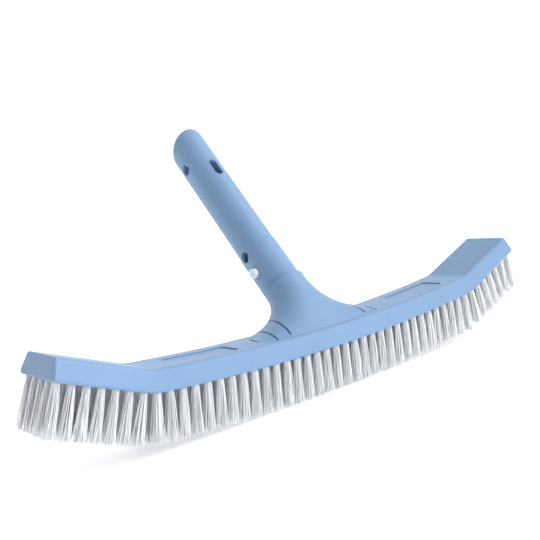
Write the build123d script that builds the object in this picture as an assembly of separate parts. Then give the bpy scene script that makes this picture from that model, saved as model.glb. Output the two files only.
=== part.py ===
from build123d import *
import os
from math import copysign, cos, degrees, pi, radians, sin, sqrt

os.makedirs("parts", exist_ok=True)

# Pool wall brush. Working axes: X along the bar, -Y to the front, +Z up, bristles down.
# The working origin is the middle of the bar's underside. Everything is moved at the end so that
# the finished part's origin is on the spigot's axis, where its lead-in stretch starts.

# ---- Driving dimensions, mm ---------------------------------------------------------------
# Bar: a shallow arc, a bend and a straight upturned end on each side.
arc_half_length = 133.0      # middle arc, from the centre to the bend, along the underside
arc_radius = 1400.0
bend_radius = 38.0           # of the underside
bend_angle = 16.0
end_length = 54.0            # straight end, past the bend
bar_depth = 46.0             # front to rear, at the underside
bar_front_draft = 4.0        # how much the front face leans in by the top
bar_rear_draft = 6.5
bar_height = 12.7
bar_front_top_round = 3.2
bar_rear_top_round = 2.0
bar_front_bottom_round = 1.5
bar_rear_bottom_round = 2.4
bar_end_round = 1.2

# Pole spigot: a tube that leans back from the middle of the bar.
spigot_tilt = 41.2           # degrees back from vertical
spigot_base_y = 7.0          # where its axis crosses the bar's top
spigot_seat_r = 14.5
spigot_lead_r = 14.1         # relieved above the lower holes, so that a pole starts easily
spigot_relief = 5.0          # length of the cone between the seat and the lead-in stretch
spigot_wall = 3.0
spigot_front_length = 180.5  # from the bar's top to the lip, along the front
lip_slant = 18.0             # how much shorter the tube is along the rear
lip_round = 2.0              # around the outside of the lip
bore_floor = 24.0            # the bore is blind: its floor, from the bar's top
collar_at = 32.5             # the shoulder that a pole's end meets
collar_step = 2.1            # how far the shoulder stands out at the front
lead_start = 70.0

# Holes in the spigot. The lower two are pairs, and the one near the tip goes through the left wall.
button_hole_at = 48.2
spare_hole_at = 62.4
tip_hole_at = 149.6
hole_r = 4.0
slot_at = 136.8              # hanging slot, in the front wall only
slot_length = 15.0
slot_width = 6.0

# Boot: the flared foot of the spigot, through slices that tilt from the shoulder to the bar's top.
boot_half_widths = (15.4, 17.5, 26.0, 41.0, 66.0)
boot_squareness = (2.0, 2.1, 2.4, 3.0, 4.5)     # 2 is an ellipse, more is nearer to a rectangle
boot_front_bend_at = -3.0    # where its front profile turns forward, from the bar's top
boot_rear_bend_at = 14.0
boot_rear_sunk = 0.7         # how far its rear lies under the tube's surface at the shoulder
boot_foot_sunk = 0.6         # how far its foot starts inside the bar
boot_points = 16             # points around each slice
groove_places = (33.0, 44.0, 55.5)              # thin grooves across each wing
groove_width = 1.4
groove_depth = 1.1
groove_front_gap = 2.0       # from the foot's front edge to the grooves' ends
groove_turn = 12.0           # degrees that they turn in towards the tube at the rear

# Blank recessed panels on the bar's top.
panel_start = 72.0
panel_end = 117.0
panel_depth_y = 19.0
panel_y = -2.5
panel_recess = 0.8

# Tufts: folded filaments, held in blind holes by flat anchors.
tufts_per_row = 47
tuft_rows = 5
tuft_end_margin = 4.2        # from the last tuft's centre to the bar's end
tuft_front_margin = 5.8      # from the front row's centres to the underside's front edge
tuft_rear_margin = 6.8
tuft_end_count = 7           # tufts on each upturned end, in each row
tuft_hole_r = 2.3
tuft_hole_depth = 7.0
tuft_length = 29.5           # from the underside to the trimmed tips
tuft_tip_r = 3.6
tuft_clearance = 0.05        # between a shank and its hole
tuft_neck = 0.9              # how far the shank runs below the underside before it flares
tuft_fan = 0.8               # share of the underside's slope that the holes follow
tuft_sweep = 5.0             # degrees that all the holes lean to the rear
anchor_width = 4.3
anchor_height = 1.6
anchor_thickness = 0.5
anchor_floor_gap = 0.5

# V clip inside the spigot: a bend and two arms that carry the pole's lock buttons.
clip_width = 12.0
clip_thickness = 2.0
clip_bend_at = 92.0          # where the arms leave the bend
clip_bend_half = 4.6         # from the spigot's axis to the middle of an arm at the bend
clip_wall_gap = 0.35         # between an arm's foot and the bore
clip_joint_gap = 0.3
clip_foot_past = 6.5         # how far the arm runs past its button
button_r = 3.6
button_out = 4.0             # how far a button stands out of the tube
button_dome = 1.5
button_arm_gap = 0.55        # between a button's back and its arm
button_travel = 4.4

# ---- Derived sizes ------------------------------------------------------------------------
bore_r = spigot_seat_r - spigot_wall
tilt = radians(spigot_tilt)
spigot_dir = Vector(0, sin(tilt), cos(tilt))
spigot_front = Vector(0, -cos(tilt), sin(tilt))
spigot_root = Vector(0, spigot_base_y, bar_height)


def on_spigot(along, side=0.0, front=0.0):
    """A point at a distance along the spigot's axis, offset to +X and to its front."""
    return spigot_root + spigot_dir * along + spigot_front * front + Vector(side, 0, 0)


def spigot_plane(along, front=0.0):
    return Plane(origin=on_spigot(along, front=front), x_dir=(1, 0, 0), z_dir=spigot_dir)


def spigot_cylinder(radius, start, stop, front=0.0):
    """A cylinder along the spigot's axis between two distances from the bar's top."""
    return extrude(spigot_plane(start, front) * Circle(radius), stop - start)


def across(along, radius, sides=(-1, 1)):
    """A cylinder along X through the tube's left wall (-1), its right wall (1) or both."""
    reach = spigot_seat_r * 1.5
    left = reach if -1 in sides else 0
    right = reach if 1 in sides else 0
    plane = Plane(origin=on_spigot(along, side=-left), x_dir=spigot_dir, z_dir=(1, 0, 0))
    return extrude(plane * Circle(radius), left + right)


# ---- Bar ----------------------------------------------------------------------------------
def underside_half():
    """The underside's line from the middle to the right end, in the XZ plane."""
    flat = Plane.XZ
    middle = JernArc((0, 0), (1, 0), arc_radius, degrees(arc_half_length / arc_radius))
    bend = JernArc(middle @ 1, middle % 1, bend_radius, bend_angle)
    end = Line(bend @ 1, (bend @ 1) + (bend % 1) * end_length)
    return [flat * edge for edge in (middle, bend, end)]


right_edges = underside_half()
left_edges = [edge.mirror(Plane.YZ) for edge in right_edges]
underside = Wire(left_edges + right_edges)
half_length = sum(edge.length for edge in right_edges)


def underside_at(distance):
    """Point and slope in radians at a signed distance from the middle, along the underside."""
    side = -1 if distance < 0 else 1
    run = abs(distance)
    if run <= arc_half_length:
        slope = run / arc_radius
        x, z = arc_radius * sin(slope), arc_radius * (1 - cos(slope))
    else:
        first = arc_half_length / arc_radius
        slope = min(first + (run - arc_half_length) / bend_radius, first + radians(bend_angle))
        x = arc_radius * sin(first) + bend_radius * (sin(slope) - sin(first))
        z = arc_radius * (1 - cos(first)) + bend_radius * (cos(first) - cos(slope))
        straight = run - arc_half_length - bend_radius * radians(bend_angle)
        if straight > 0:
            x += straight * cos(slope)
            z += straight * sin(slope)
    return Vector(side * x, 0, z), side * slope


def bar_top(x):
    """Height of the bar's top over the middle arc, at a distance x from the middle."""
    return arc_radius - sqrt((arc_radius - bar_height) ** 2 - x * x)


def make_bar():
    start, slope = underside_at(-half_length)
    tangent = Vector(cos(slope), 0, sin(slope))
    foot = bar_depth / 2
    front_head = foot - bar_front_draft
    rear_head = foot - bar_rear_draft
    outline = Polyline((-foot, 0), (foot, 0), (rear_head, bar_height), (-front_head, bar_height), close=True)
    face = make_face(outline)
    corners = ((-foot, 0, bar_front_bottom_round), (foot, 0, bar_rear_bottom_round),
               (rear_head, bar_height, bar_rear_top_round), (-front_head, bar_height, bar_front_top_round))
    for across_bar, up, radius in corners:
        face = fillet(face.vertices().sort_by_distance((across_bar, up, 0))[0], radius)
    section = Plane(origin=start, x_dir=(0, 1, 0), z_dir=tangent) * face
    bar = sweep(sections=section, path=underside)
    by_reach = bar.faces().sort_by(Axis.X)
    rim = by_reach[0].edges() + by_reach[-1].edges()
    return fillet(rim, bar_end_round)


# ---- Boot ---------------------------------------------------------------------------------
def bend_through(start, control, end, share):
    """A point on the curve that leaves start towards control and arrives at end from it."""
    rest = 1 - share
    return start * (rest * rest) + control * (2 * share * rest) + end * (share * share)


def boot_slice(share, half_width, squareness, inset):
    """A closed slice of the boot, from the shoulder at share 0 to the bar's top at share 1."""
    proud = spigot_seat_r + collar_step
    tucked = spigot_seat_r - boot_rear_sunk
    foot_z = bar_height - boot_foot_sunk
    front_foot = Vector(0, -bar_depth / 2 + bar_front_draft + bar_front_top_round - 1, foot_z)
    rear_foot = Vector(0, bar_depth / 2 - bar_rear_draft - bar_rear_top_round + 1, foot_z)
    front = bend_through(on_spigot(collar_at, front=proud), on_spigot(boot_front_bend_at, front=proud),
                         front_foot, share)
    rear = bend_through(on_spigot(collar_at, front=-tucked), on_spigot(boot_rear_bend_at, front=-tucked),
                        rear_foot, share)
    inward = (rear - front).normalized()
    plane = Plane(origin=(front + rear) / 2, x_dir=(1, 0, 0), z_dir=Vector(1, 0, 0).cross(inward))
    half_depth = (rear - front).length / 2 - inset
    points = []
    for i in range(boot_points):
        turn = 2 * pi * i / boot_points
        reach_x = copysign(abs(cos(turn)) ** (2 / squareness), cos(turn))
        reach_y = copysign(abs(sin(turn)) ** (2 / squareness), sin(turn))
        points.append(((half_width - inset) * reach_x, half_depth * reach_y))
    outline = plane * Spline(*points, periodic=True)
    return make_face(Pos(0, 0, -inset) * outline)


def make_boot(inset=0.0):
    last = len(boot_half_widths) - 1
    sizes = zip(boot_half_widths, boot_squareness)
    return loft([boot_slice(i / last, width, square, inset) for i, (width, square) in enumerate(sizes)])


def make_grooves(boot):
    """Thin grooves of even depth across both wings of the boot."""
    skin = boot - make_boot(groove_depth)
    front_y = -bar_depth / 2 + bar_front_draft + bar_front_top_round + groove_front_gap
    long_y = bar_depth
    grooves = []
    for place in groove_places:
        for side in (-1, 1):
            blade = Pos(0, long_y / 2, bar_height + 15) * Box(groove_width, long_y, 40)
            blade = Pos(side * place, front_y, 0) * Rot(0, 0, side * groove_turn) * blade
            grooves += (skin & blade).solids()
    return grooves


# ---- Brush back ---------------------------------------------------------------------------
def make_panel_cutters():
    """Shallow pockets in the bar's top that follow its curve, one on each side."""
    radius = arc_radius - bar_height
    centre = Pos(0, panel_y, arc_radius)
    ring = Cylinder(radius + panel_recess, panel_depth_y, rotation=(90, 0, 0))
    ring = centre * (ring - Cylinder(radius - bar_height, 2 * panel_depth_y, rotation=(90, 0, 0)))
    cutters = []
    for side in (-1, 1):
        middle = side * (panel_start + panel_end) / 2
        block = Pos(middle, panel_y, bar_top(panel_end)) * Box(panel_end - panel_start, panel_depth_y, 2 * bar_height)
        block = fillet(block.edges().filter_by(Axis.Z), 2.0)
        cutters.append(block & ring)
    return cutters


def lip_keep():
    """Everything below the slanted lip."""
    front = on_spigot(spigot_front_length, front=spigot_seat_r)
    rear = on_spigot(spigot_front_length - lip_slant, front=-spigot_seat_r)
    along = (front - rear).normalized()
    plane = Plane(origin=(front + rear) / 2, x_dir=(1, 0, 0), z_dir=along.cross(Vector(1, 0, 0)))
    if plane.z_dir.dot(spigot_dir) > 0:
        plane = Plane(origin=plane.origin, x_dir=(1, 0, 0), z_dir=-plane.z_dir)
    return extrude(plane * Rectangle(200, 200), 300)


def make_tube():
    """The spigot's outside: the seat, a short cone, the lead-in stretch and a slanted, rounded lip."""
    seat = spigot_cylinder(spigot_seat_r, 0, lead_start - spigot_relief)
    cone = loft([spigot_plane(lead_start - spigot_relief) * Circle(spigot_seat_r),
                 spigot_plane(lead_start) * Circle(spigot_lead_r)])
    lead = spigot_cylinder(spigot_lead_r, lead_start, spigot_front_length + 5)
    tube = (seat + cone + lead) & lip_keep()
    lip = tube.faces().sort_by(lambda face: face.center().dot(spigot_dir))[-1]
    return fillet(lip.edges(), lip_round)


def make_slot():
    plane = Plane(origin=on_spigot(slot_at), x_dir=spigot_dir, z_dir=spigot_front)
    return extrude(plane * SlotOverall(slot_length, slot_width), spigot_seat_r * 1.5)


def tuft_place(row, index):
    """Where a tuft's hole meets the underside: X across it, Z up along it."""
    span = 2 * (half_length - tuft_end_margin)
    distance = -span / 2 + span * index / (tufts_per_row - 1)
    point, slope = underside_at(distance)
    rows_depth = bar_depth - tuft_front_margin - tuft_rear_margin
    y = -bar_depth / 2 + tuft_front_margin + row * rows_depth / (tuft_rows - 1)
    lean = slope * tuft_fan
    sweep_back = radians(tuft_sweep)
    up = Vector(-sin(lean) * cos(sweep_back), -sin(sweep_back), cos(lean) * cos(sweep_back))
    x_dir = Vector(cos(lean), 0, sin(lean))
    return Plane(origin=point + Vector(0, y, 0), x_dir=x_dir, z_dir=up)


def make_brush_back():
    boot = make_boot()
    outer = make_bar() + boot + make_tube()
    cuts = make_grooves(boot)
    cuts.append(spigot_cylinder(bore_r, bore_floor, spigot_front_length + 20))
    cuts += [across(at, hole_r) for at in (button_hole_at, spare_hole_at)]
    cuts.append(across(tip_hole_at, hole_r, sides=(-1,)))
    cuts.append(make_slot())
    cuts += make_panel_cutters()
    for row in range(tuft_rows):
        for index in range(tufts_per_row):
            hole = Pos(0, 0, tuft_hole_depth / 2 - 0.5) * Cylinder(tuft_hole_r, tuft_hole_depth + 1)
            cuts.append(tuft_place(row, index) * hole)
    outer -= cuts
    return outer


# ---- Tufts and anchors ----------------------------------------------------------------------
def make_tuft():
    """One folded bundle: a shank that fills its hole down to the anchor, then a flare to the tips."""
    shank_top = tuft_hole_depth - anchor_floor_gap
    shank_r = tuft_hole_r - tuft_clearance
    profile = Polyline((0, shank_top), (shank_r, shank_top), (shank_r, -tuft_neck),
                       (tuft_tip_r, -tuft_length), (0, -tuft_length), close=True)
    body = revolve(Plane.XZ * make_face(profile), Axis.Z)
    notch = Pos(0, 0, shank_top) * Box(2 * tuft_hole_r + 1, anchor_thickness, 2 * anchor_height)
    return body - notch


def make_anchor():
    """The flat strip that pins the fold, standing across the hole."""
    return Pos(0, 0, tuft_hole_depth - anchor_floor_gap - anchor_height / 2) * Box(
        anchor_width, anchor_thickness, anchor_height)


def tuft_zones():
    """The three stretches of every row: left end, middle, right end."""
    last = tufts_per_row - tuft_end_count
    return {"left": range(tuft_end_count), "middle": range(tuft_end_count, last), "right": range(last, tufts_per_row)}


# ---- Clip -----------------------------------------------------------------------------------
def clip_plane():
    """Local X is to +X, local Y runs along the spigot from the bar's top."""
    return Plane(origin=spigot_root, x_dir=(1, 0, 0), z_dir=spigot_front)


def clip_block(sketch):
    return extrude(clip_plane() * sketch, clip_width / 2, both=True)


arm_foot_x = sqrt(bore_r ** 2 - (clip_width / 2) ** 2) - clip_wall_gap - clip_thickness / 2
arm_length = clip_bend_at - button_hole_at


def make_arm(side):
    """A straight arm from the bend to past its button, splayed out to the bore."""
    foot_at = button_hole_at - clip_foot_past
    lean = (arm_foot_x - clip_bend_half) / arm_length
    knee = (side * arm_foot_x, button_hole_at + button_r)
    head = (side * (clip_bend_half + lean * clip_joint_gap), clip_bend_at - clip_joint_gap)
    line = Polyline(head, knee, (side * arm_foot_x, foot_at))
    return clip_block(trace(line, clip_thickness))


def make_bend():
    """The round spring bend that joins the two arms."""
    top = clip_bend_at + clip_bend_half
    path = Line((-clip_bend_half, clip_bend_at), (-clip_bend_half, top)) + ThreePointArc(
        (-clip_bend_half, top), (0, top + clip_bend_half), (clip_bend_half, top)) + Line(
        (clip_bend_half, top), (clip_bend_half, clip_bend_at))
    return clip_block(trace(path, clip_thickness))


def make_button(side):
    """A lock button: a round peg with a domed nose."""
    back = arm_foot_x + clip_thickness / 2 + button_arm_gap
    nose = spigot_seat_r + button_out
    dome_r = (button_r ** 2 + button_dome ** 2) / (2 * button_dome)
    outward = Vector(side, 0, 0)
    seat = Plane(origin=on_spigot(button_hole_at) + outward * back, x_dir=spigot_dir, z_dir=outward)
    peg = extrude(seat * Circle(button_r), nose - back)
    centre = on_spigot(button_hole_at) + outward * (nose - dome_r)
    return peg & (Pos(centre) * Sphere(dome_r))


# ---- The whole part ---------------------------------------------------------------------------
parts = {"brush_back": make_brush_back()}
tuft = make_tuft()
anchor = make_anchor()
for row in range(tuft_rows):
    for zone, indices in tuft_zones().items():
        places = [tuft_place(row, index) for index in indices]
        parts[f"tufts_row{row + 1}_{zone}"] = Compound([place * tuft for place in places])
    every = [tuft_place(row, index) for index in range(tufts_per_row)]
    parts[f"anchors_row{row + 1}"] = Compound([place * anchor for place in every])
parts["clip_bend"] = make_bend()
for side, name in ((-1, "left"), (1, "right")):
    parts[f"clip_arm_{name}"] = make_arm(side)
    parts[f"lock_button_{name}"] = make_button(side)

part_origin = on_spigot(lead_start)
for name, shape in parts.items():
    placed = Pos(-part_origin.X, -part_origin.Y, -part_origin.Z) * shape
    export_step(placed, f"parts/{name}.step")
    box = placed.bounding_box()
    print(name, len(placed.solids()), round(placed.volume, 1), [round(v, 2) for v in (*box.min, *box.max)])
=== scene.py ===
from math import cos, pi, radians, sin

import bmesh
import bpy
import numpy as np
from mathutils import Matrix, Vector


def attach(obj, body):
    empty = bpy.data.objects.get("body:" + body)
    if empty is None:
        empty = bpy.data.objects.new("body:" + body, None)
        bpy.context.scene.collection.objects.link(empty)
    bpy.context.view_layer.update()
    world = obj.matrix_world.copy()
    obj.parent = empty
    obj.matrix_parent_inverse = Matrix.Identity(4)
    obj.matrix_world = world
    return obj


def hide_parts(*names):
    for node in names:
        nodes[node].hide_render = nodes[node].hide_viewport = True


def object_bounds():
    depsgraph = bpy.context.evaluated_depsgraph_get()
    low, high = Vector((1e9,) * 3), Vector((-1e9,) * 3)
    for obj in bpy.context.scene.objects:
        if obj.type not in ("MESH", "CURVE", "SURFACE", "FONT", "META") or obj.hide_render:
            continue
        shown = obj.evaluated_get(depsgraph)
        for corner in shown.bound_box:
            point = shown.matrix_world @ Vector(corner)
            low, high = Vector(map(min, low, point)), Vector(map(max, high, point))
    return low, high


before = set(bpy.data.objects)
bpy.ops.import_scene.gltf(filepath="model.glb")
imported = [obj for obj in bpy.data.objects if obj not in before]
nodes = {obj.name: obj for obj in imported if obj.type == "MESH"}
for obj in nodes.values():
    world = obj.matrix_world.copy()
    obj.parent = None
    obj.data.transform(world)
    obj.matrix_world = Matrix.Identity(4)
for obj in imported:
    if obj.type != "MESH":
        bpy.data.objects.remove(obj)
cad_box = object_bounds()


# ---- Viewpoint --------------------------------------------------------------------------------
# A short telephoto, just above the height of the spigot's foot and off the bar's left end.
# The camera is rolled, so that the brush's left end dips in the frame.
view_target = Vector((-0.0389, -0.0623, -0.0091))
view_distance = 0.500
view_azimuth = radians(38.13)
view_elevation = radians(6.97)
view_roll = radians(7.93)
lens_mm = 53.96
sensor_mm = 36
nearest_seen = 0.01

forward = Vector((sin(view_azimuth) * cos(view_elevation), cos(view_azimuth) * cos(view_elevation),
                  -sin(view_elevation)))
camera_data = bpy.data.cameras.new("camera")
camera_data.lens = lens_mm
camera_data.sensor_width = sensor_mm
camera_data.clip_start = nearest_seen
camera = bpy.data.objects.new("camera", camera_data)
camera.location = view_target - forward * view_distance
level = forward.to_track_quat("-Z", "Y").to_matrix()
camera.rotation_euler = (level @ Matrix.Rotation(-view_roll, 3, "Z")).to_euler()
bpy.context.scene.collection.objects.link(camera)
bpy.context.scene.camera = camera
bpy.context.scene.view_settings.view_transform = "Standard"


# ---- Brush back -------------------------------------------------------------------------------
# One injection moulding in blue-grey polypropylene: bar, fairing and hollow pole spigot together.
# Satin finish with a fine even grain from the mould, and a painted highlight along its raised edges.
def moulded_plastic(name, colour, edge_highlight_colour, roughness, grain_size, grain_depth):
    """A moulded plastic with flow clouds, fine grain and a painted highlight on its raised edges."""
    cloud_scale, cloud_detail = 28, 3
    cloud_dark, cloud_light = 0.965, 1.025
    cloud_start, cloud_end = 0.3, 0.7
    edge_start, edge_end, edge_highlight_strength = 0.52, 0.62, 0.35
    grain_detail, grain_strength = 2, 0.25
    roughness_spread = 0.05
    refraction, gloss = 1.49, 0.22

    material = bpy.data.materials.new(name)
    material.use_nodes = True
    tree = material.node_tree
    shader = tree.nodes["Principled BSDF"]
    place = tree.nodes.new("ShaderNodeTexCoord")

    clouds = tree.nodes.new("ShaderNodeTexNoise")
    clouds.inputs["Scale"].default_value = cloud_scale
    clouds.inputs["Detail"].default_value = cloud_detail
    tint = tree.nodes.new("ShaderNodeValToRGB")
    tint.color_ramp.elements[0].position = cloud_start
    tint.color_ramp.elements[0].color = (*[c * cloud_dark for c in colour], 1)
    tint.color_ramp.elements[1].position = cloud_end
    tint.color_ramp.elements[1].color = (*[min(c * cloud_light, 1) for c in colour], 1)
    tree.links.new(place.outputs["Object"], clouds.inputs["Vector"])
    tree.links.new(clouds.outputs["Fac"], tint.inputs["Fac"])

    # Painted highlight: raised edges, found by pointiness, are mixed towards a lighter colour.
    shape = tree.nodes.new("ShaderNodeNewGeometry")
    edge = tree.nodes.new("ShaderNodeMapRange")
    edge.inputs["From Min"].default_value = edge_start
    edge.inputs["From Max"].default_value = edge_end
    edge.inputs["To Max"].default_value = edge_highlight_strength
    highlight_mix = tree.nodes.new("ShaderNodeMix")
    highlight_mix.data_type = "RGBA"
    factor, body_tone, edge_highlight_input = highlight_mix.inputs[0], highlight_mix.inputs[6], highlight_mix.inputs[7]
    edge_highlight_input.default_value = (*edge_highlight_colour, 1)
    tree.links.new(shape.outputs["Pointiness"], edge.inputs["Value"])
    tree.links.new(edge.outputs["Result"], factor)
    tree.links.new(tint.outputs["Color"], body_tone)
    tree.links.new(highlight_mix.outputs[2], shader.inputs["Base Color"])

    grain = tree.nodes.new("ShaderNodeTexNoise")
    grain.inputs["Scale"].default_value = 1 / grain_size
    grain.inputs["Detail"].default_value = grain_detail
    tree.links.new(place.outputs["Object"], grain.inputs["Vector"])
    bump = tree.nodes.new("ShaderNodeBump")
    bump.inputs["Strength"].default_value = grain_strength
    bump.inputs["Distance"].default_value = grain_depth
    tree.links.new(grain.outputs["Fac"], bump.inputs["Height"])
    tree.links.new(bump.outputs["Normal"], shader.inputs["Normal"])

    shine = tree.nodes.new("ShaderNodeMapRange")
    shine.inputs["To Min"].default_value = roughness - roughness_spread
    shine.inputs["To Max"].default_value = roughness + roughness_spread
    tree.links.new(clouds.outputs["Fac"], shine.inputs["Value"])
    tree.links.new(shine.outputs["Result"], shader.inputs["Roughness"])
    shader.inputs["IOR"].default_value = refraction
    shader.inputs["Specular IOR Level"].default_value = gloss
    return material


blue = (0.205, 0.330, 0.520)
# The lighter blue is a painted highlight for the moulding's raised edges.
blue_edge_highlight = (0.270, 0.400, 0.590)
back = nodes["brush_back"]
back.data.materials.clear()
back.data.materials.append(moulded_plastic(
    "blue_polypropylene", blue, blue_edge_highlight, roughness=0.46, grain_size=0.0006, grain_depth=0.00006))


# ---- Tufts ------------------------------------------------------------------------------------
# Straight white nylon filaments, folded in half, stapled into the back's holes and trimmed level.
# Each bundle leaves its hole tightly packed and opens until its tips meet its neighbours' tips.
filament_r = 0.00024
filaments_per_tuft = 64
filament_sides = 5
held_length = 0.0074          # of a tuft's length, how much stands in its hole
hidden_length = 0.0030        # how far the modelled filaments go up into the hole
shank_r = 0.0020              # of the bundle, to its outer filaments' middles
tip_spread_r = 0.0036
opening_power = 0.92          # below 1, a bundle opens fastest near its hole
packing_scatter = 0.03        # of the bundle's radius
trim_scatter = 0.0011         # longest shortfall of a filament's tip
trim_power = 1.5
tip_wander = 0.00050
wander_power = 1.5
wander_limit = 1.6            # standard deviations
bow_share = 0.7               # of the wander, how far a filament bows sideways halfway down
stations = (0.0, 0.1, 0.28, 0.52, 0.77, 1.0)
golden_turn = pi * (3 - 5 ** 0.5)
end_band = 0.012              # height of a CAD tuft's top and bottom slices that give its axis
same_point = 1e-6
rng = np.random.default_rng(240)


def bristle_nylon():
    """Translucent white nylon, each filament slightly different from the next."""
    dullest, whitest = (0.84, 0.87, 0.92, 1), (0.95, 0.96, 0.97, 1)
    roughness, refraction = 0.38, 1.53
    scatter_share, scatter_depth = 0.6, 0.0012
    material = bpy.data.materials.new("white_nylon")
    material.use_nodes = True
    tree = material.node_tree
    shader = tree.nodes["Principled BSDF"]
    shape = tree.nodes.new("ShaderNodeNewGeometry")
    tint = tree.nodes.new("ShaderNodeValToRGB")
    tint.color_ramp.elements[0].color = dullest
    tint.color_ramp.elements[1].color = whitest
    tree.links.new(shape.outputs["Random Per Island"], tint.inputs["Fac"])
    tree.links.new(tint.outputs["Color"], shader.inputs["Base Color"])
    shader.inputs["Roughness"].default_value = roughness
    shader.inputs["IOR"].default_value = refraction
    shader.inputs["Subsurface Weight"].default_value = scatter_share
    shader.inputs["Subsurface Radius"].default_value = (1.0, 1.0, 1.0)
    shader.inputs["Subsurface Scale"].default_value = scatter_depth
    return material


def tuft_axes(node):
    """The root, the tip centre and the axis of every tuft solid in a CAD node."""
    mesh = bmesh.new()
    mesh.from_mesh(node.data)
    bmesh.ops.remove_doubles(mesh, verts=mesh.verts, dist=same_point)
    unseen = set(mesh.verts)
    found = []
    while unseen:
        start = unseen.pop()
        island, waiting = [start], [start]
        while waiting:
            here = waiting.pop()
            for edge in here.link_edges:
                other = edge.other_vert(here)
                if other in unseen:
                    unseen.remove(other)
                    island.append(other)
                    waiting.append(other)
        points = np.array([v.co for v in island])
        lowest = points[points[:, 2] < points[:, 2].min() + end_band]
        highest = points[points[:, 2] > points[:, 2].max() - end_band]
        low = (lowest.min(0) + lowest.max(0)) / 2
        high = (highest.min(0) + highest.max(0)) / 2
        axis = (low - high) / np.linalg.norm(low - high)
        reach = (points - high) @ axis
        found.append((high + axis * reach.min(), high + axis * reach.max(), axis))
    mesh.free()
    found.sort(key=lambda tuft: tuft[0][0])
    return found


def bundle(root, tip, axis):
    """Rings of points for every filament of one tuft: filament, station, corner, xyz."""
    side = np.cross(axis, (0, 1, 0))
    side /= np.linalg.norm(side)
    other = np.cross(axis, side)
    count = np.arange(filaments_per_tuft)
    radius = np.sqrt((count + 0.5) / filaments_per_tuft)
    angle = count * golden_turn + rng.uniform(0, 2 * pi)
    radius = radius + rng.normal(0, packing_scatter, filaments_per_tuft)
    across = np.stack([radius * np.cos(angle), radius * np.sin(angle)], 1)
    wander, bow = (rng.normal(0, 1, (filaments_per_tuft, 2)).clip(-wander_limit, wander_limit) * size
                   for size in (tip_wander, tip_wander * bow_share))
    start = root + axis * (held_length - hidden_length)
    length = np.linalg.norm(tip - start)
    reach = length - rng.uniform(0, 1, filaments_per_tuft) ** trim_power * trim_scatter
    rings = np.zeros((filaments_per_tuft, len(stations), filament_sides, 3))
    neck = hidden_length / length
    corners = np.arange(filament_sides) * 2 * pi / filament_sides
    for i, share in enumerate(stations):
        opening = max(0.0, (share - neck) / (1 - neck)) ** opening_power
        spread = shank_r + (tip_spread_r - shank_r) * opening
        offset = across * spread + wander * opening ** wander_power + bow * sin(pi * opening)
        middle = start + axis * (reach * share)[:, None] + side * offset[:, :1] + other * offset[:, 1:]
        for j, turn in enumerate(corners):
            rings[:, i, j] = middle + filament_r * (side * cos(turn) + other * sin(turn))
    return rings


def bristles(node_name, material):
    """One mesh of filaments for all the tufts of a CAD node."""
    rings = np.concatenate([bundle(*tuft) for tuft in tuft_axes(nodes[node_name])])
    n, levels, sides, _ = rings.shape
    first = np.arange(n)[:, None, None] * levels * sides
    level = np.arange(levels - 1)[None, :, None] * sides
    corner = np.arange(sides)[None, None, :]
    after = (corner + 1) % sides
    quads = np.stack([first + level + corner, first + level + after,
                      first + level + sides + after, first + level + sides + corner], -1)
    ends = np.arange(n)[:, None] * levels * sides + (levels - 1) * sides + np.arange(sides)[None, :]
    mesh = bpy.data.meshes.new(node_name.replace("tufts", "bristles"))
    mesh.from_pydata(rings.reshape(-1, 3).tolist(), [], quads.reshape(-1, 4).tolist() + ends.tolist())
    mesh.polygons.foreach_set("use_smooth", [True] * (n * (levels - 1) * sides) + [False] * n)
    mesh.materials.append(material)
    piece = bpy.data.objects.new(mesh.name, mesh)
    bpy.context.scene.collection.objects.link(piece)
    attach(piece, "brush")
    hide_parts(node_name)
    return piece


nylon = bristle_nylon()
for name in sorted(nodes):
    if name.startswith("tufts"):
        bristles(name, nylon)


# ---- Anchors ----------------------------------------------------------------------------------
# Flat strips of stainless steel, one across each fold, driven into the bottom of the hole.
def rolled_steel():
    """Bright steel strip with a fine mottle from rolling."""
    mottle_scale, roughness = 900, 0.32
    dark, bright = (0.42, 0.42, 0.43, 1), (0.60, 0.60, 0.61, 1)
    material = bpy.data.materials.new("anchor_steel")
    material.use_nodes = True
    tree = material.node_tree
    shader = tree.nodes["Principled BSDF"]
    place = tree.nodes.new("ShaderNodeTexCoord")
    mottle = tree.nodes.new("ShaderNodeTexNoise")
    mottle.inputs["Scale"].default_value = mottle_scale
    tint = tree.nodes.new("ShaderNodeValToRGB")
    tint.color_ramp.elements[0].color = dark
    tint.color_ramp.elements[1].color = bright
    tree.links.new(place.outputs["Object"], mottle.inputs["Vector"])
    tree.links.new(mottle.outputs["Fac"], tint.inputs["Fac"])
    tree.links.new(tint.outputs["Color"], shader.inputs["Base Color"])
    shader.inputs["Metallic"].default_value = 1.0
    shader.inputs["Roughness"].default_value = roughness
    return material


steel = rolled_steel()
for name in sorted(nodes):
    if name.startswith("anchors"):
        nodes[name].data.materials.clear()
        nodes[name].data.materials.append(steel)


# ---- Spring clip and lock buttons ---------------------------------------------------------------
# A white moulded V inside the spigot: a round bend, and two arms that push the domed buttons out.
# The second, lighter white is a painted highlight for the clip's raised edges.
clip_white, clip_edge_highlight = (0.80, 0.85, 0.91), (0.90, 0.93, 0.96)
clip_nodes = ("clip_bend", "clip_arm_left", "clip_arm_right", "lock_button_left", "lock_button_right")
clip_plastic = moulded_plastic(
    "white_clip_plastic", clip_white, clip_edge_highlight, roughness=0.30, grain_size=0.0009, grain_depth=0.00003)
for name in clip_nodes:
    nodes[name].data.materials.clear()
    nodes[name].data.materials.append(clip_plastic)


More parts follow.
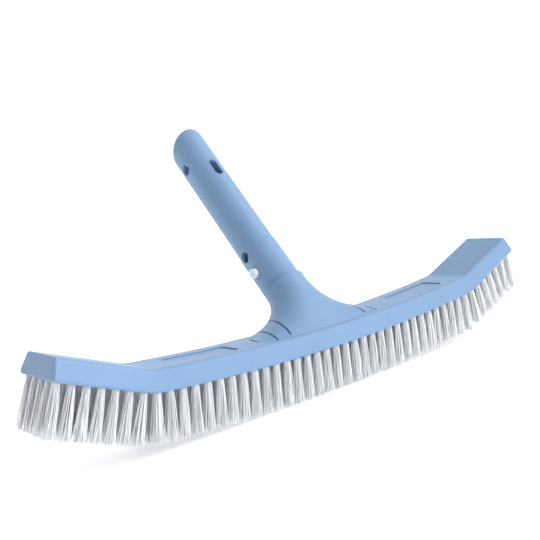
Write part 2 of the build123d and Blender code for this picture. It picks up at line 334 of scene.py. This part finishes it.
# ---- Floor ------------------------------------------------------------------------------------
# A pale studio sheet: flat under the bristle tips, then swept up far behind the brush.
def studio_sheet():
    """A sheet with an even glow of its own, which keeps it white under the brush."""
    front, back_y, top, sweep_r, half_width = -3.0, 4.0, 7.0, 1.5, 12.0
    sweep_steps = 24
    gap_below = 0.0002
    glow, roughness, speckle_scale = 0.34, 0.8, 6
    dull_white, white = (0.93, 0.93, 0.93, 1), (0.95, 0.95, 0.95, 1)

    floor_z = cad_box[0][2] - gap_below
    outline = [(front, floor_z), (back_y - sweep_r, floor_z)]
    for i in range(1, sweep_steps + 1):
        turn = pi / 2 * i / sweep_steps
        outline.append((back_y - sweep_r + sweep_r * sin(turn), floor_z + sweep_r * (1 - cos(turn))))
    outline.append((back_y, floor_z + top))
    verts = [(x, y, z) for x in (-half_width, half_width) for y, z in outline]
    n = len(outline)
    faces = [(i, i + 1, n + i + 1, n + i) for i in range(n - 1)]
    mesh = bpy.data.meshes.new("studio_sheet")
    mesh.from_pydata(verts, [], faces)
    mesh.polygons.foreach_set("use_smooth", [True] * len(faces))

    material = bpy.data.materials.new("studio_white")
    material.use_nodes = True
    tree = material.node_tree
    shader = tree.nodes["Principled BSDF"]
    speckle = tree.nodes.new("ShaderNodeTexNoise")
    speckle.inputs["Scale"].default_value = speckle_scale
    tint = tree.nodes.new("ShaderNodeValToRGB")
    tint.color_ramp.elements[0].color = dull_white
    tint.color_ramp.elements[1].color = white
    tree.links.new(speckle.outputs["Fac"], tint.inputs["Fac"])
    tree.links.new(tint.outputs["Color"], shader.inputs["Base Color"])
    shader.inputs["Roughness"].default_value = roughness
    shader.inputs["Emission Color"].default_value = (1, 1, 1, 1)
    shader.inputs["Emission Strength"].default_value = glow
    mesh.materials.append(material)
    sheet = bpy.data.objects.new("studio_sheet", mesh)
    bpy.context.scene.collection.objects.link(sheet)


studio_sheet()


# ---- Light ------------------------------------------------------------------------------------
# A broad soft key from the right, in front and above, and a weaker soft box in front.
# Both stand in a white tent, which is dimmer on the brush's left so that its left sides read darker.
def add_lamp(name, kind, travel, power):
    """A lamp out of the camera's sight, shining along the direction of travel."""
    data = bpy.data.lights.new(name, kind)
    data.energy = power
    lamp = bpy.data.objects.new(name, data)
    lamp.visible_camera = False
    lamp.rotation_euler = Vector(travel).to_track_quat("-Z", "Y").to_euler()
    bpy.context.scene.collection.objects.link(lamp)
    return lamp


box_place, box_size = Vector((-0.1, -1.8, 0.6)), 1.2
brush_middle = (Vector(cad_box[0]) + Vector(cad_box[1])) / 2
box = add_lamp("front", "AREA", brush_middle - box_place, 9)
box.location = box_place
box.data.shape = "DISK"
box.data.size = box_size

key = add_lamp("key", "SUN", (-0.62, 0.50, -0.60), 1.95)
key.data.angle = radians(38)

tent_left, tent_right = -0.9, 0.7
dim_level, bright_level = 0.12, 0.85
tent_colour = (0.95, 0.975, 1.0, 1)
world = bpy.data.worlds.new("tent")
world.use_nodes = True
sky = world.node_tree
heading = sky.nodes.new("ShaderNodeTexCoord")
split = sky.nodes.new("ShaderNodeSeparateXYZ")
tent_level = sky.nodes.new("ShaderNodeMapRange")
tent_level.inputs["From Min"].default_value = tent_left
tent_level.inputs["From Max"].default_value = tent_right
tent_level.inputs["To Min"].default_value = dim_level
tent_level.inputs["To Max"].default_value = bright_level
sky.links.new(heading.outputs["Generated"], split.inputs["Vector"])
sky.links.new(split.outputs["X"], tent_level.inputs["Value"])
sky.links.new(tent_level.outputs["Result"], sky.nodes["Background"].inputs["Strength"])
sky.nodes["Background"].inputs["Color"].default_value = tent_colour
bpy.context.scene.world = world
